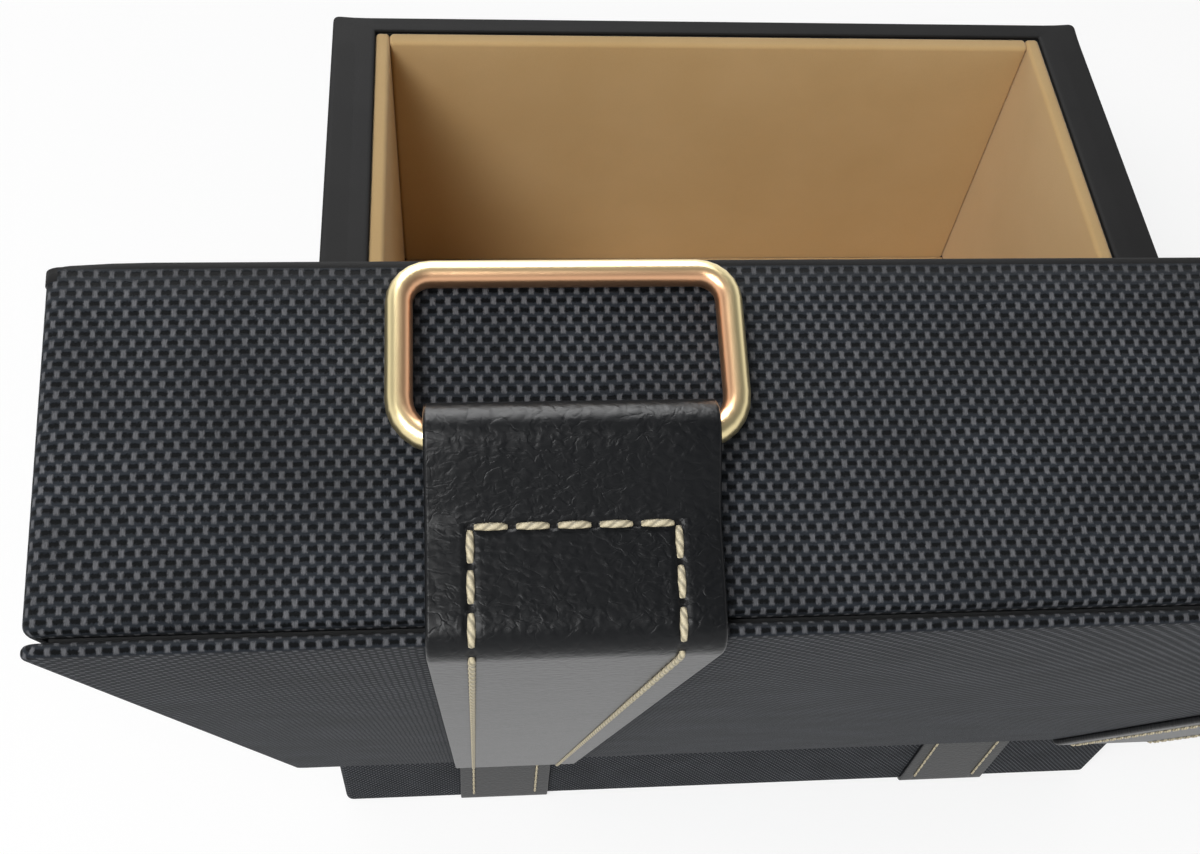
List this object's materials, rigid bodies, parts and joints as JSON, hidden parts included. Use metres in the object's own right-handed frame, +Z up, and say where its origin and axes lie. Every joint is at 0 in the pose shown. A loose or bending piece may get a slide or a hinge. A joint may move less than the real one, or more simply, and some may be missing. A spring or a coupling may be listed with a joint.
{
  "type": "watch box",
  "caption": "Woven-covered watch box with an open hinged lid, a deep tan-lined compartment, leather straps with rectangular metal rings and a shallow drawer.",
  "frame": {"origin": "middle of the underside, on the surface that the box stands on", "axes": "+X to the right seen from the front, +Y to the back, +Z up"},
  "size_m": [0.3, 0.3838, 0.4179],
  "materials": {
    "woven_cover": "coarse black plain-weave cloth glued over board",
    "rim_leatherette": "smooth matt charcoal leatherette",
    "strap_leather": "black pebbled leather with cut edges",
    "suede_lining": "tan microsuede over padded board",
    "gold_satin_metal": "satin pale gold plating",
    "hinge_metal": "satin brass",
    "felt_underside": "black felt",
    "black_board": "fibreboard covered with black paper"
  },
  "bodies": {
    "case": {"back_lining": "suede_lining", "back_strap_left": "strap_leather", "back_strap_right": "strap_leather", "back_wall": "woven_cover", "base_pad": "felt_underside", "base_panel": "black_board", "case_hinge_leaf_left": "hinge_metal", "case_hinge_leaf_right": "hinge_metal", "case_hinge_screws": "hinge_metal", "divider_panel": "black_board", "floor_pad": "suede_lining", "front_lining": "suede_lining", "front_wall": "woven_cover", "hinge_pin_left": "hinge_metal", "hinge_pin_right": "hinge_metal", "left_lining": "suede_lining", "left_wall": "woven_cover", "right_lining": "suede_lining", "right_wall": "woven_cover", "rim_trim": "rim_leatherette"},
    "lid": {"lid_back_lining": "suede_lining", "lid_back_wall": "woven_cover", "lid_deck": "black_board", "lid_front_lining": "suede_lining", "lid_front_wall": "woven_cover", "lid_hinge_leaf_left": "hinge_metal", "lid_hinge_leaf_right": "hinge_metal", "lid_hinge_screws": "hinge_metal", "lid_left_lining": "suede_lining", "lid_left_wall": "woven_cover", "lid_pad": "suede_lining", "lid_panel": "woven_cover", "lid_right_lining": "suede_lining", "lid_right_wall": "woven_cover", "lid_rim_trim": "rim_leatherette", "lid_strap_left": "strap_leather", "lid_strap_right": "strap_leather"},
    "ring_left": {"ring_left": "gold_satin_metal"},
    "ring_right": {"ring_right": "gold_satin_metal"},
    "drawer": {"drawer_back": "suede_lining", "drawer_front": "woven_cover", "drawer_left_side": "suede_lining", "drawer_pad": "suede_lining", "drawer_panel": "black_board", "drawer_right_side": "suede_lining", "drawer_rivets": "gold_satin_metal", "drawer_tab": "strap_leather"},
    "drawer_ring": {"drawer_ring": "gold_satin_metal"}
  },
  "joints": [
    {"name": "lid_hinge", "type": "hinge", "parent": "case", "child": "lid", "pos_m": [0, 0.1275, 0.1722], "axis": [1, 0, 0], "range_deg": [0, 107.5]},
    {"name": "ring_left_swing", "type": "hinge", "parent": "lid", "child": "ring_left", "pos_m": [-0.0885, 0.22794, 0.4116], "axis": [-1, 0, 0], "range_deg": [0, 150]},
    {"name": "ring_right_swing", "type": "hinge", "parent": "lid", "child": "ring_right", "pos_m": [0.0885, 0.22794, 0.4116], "axis": [-1, 0, 0], "range_deg": [0, 150]},
    {"name": "drawer_slide", "type": "slide", "parent": "case", "child": "drawer", "axis": [0, -1, 0], "range_m": [0, 0.17]},
    {"name": "drawer_ring_swing", "type": "hinge", "parent": "drawer", "child": "drawer_ring", "pos_m": [0, -0.13037, 0.0196], "axis": [-1, 0, 0], "range_deg": [-6, 150]}
  ]
}
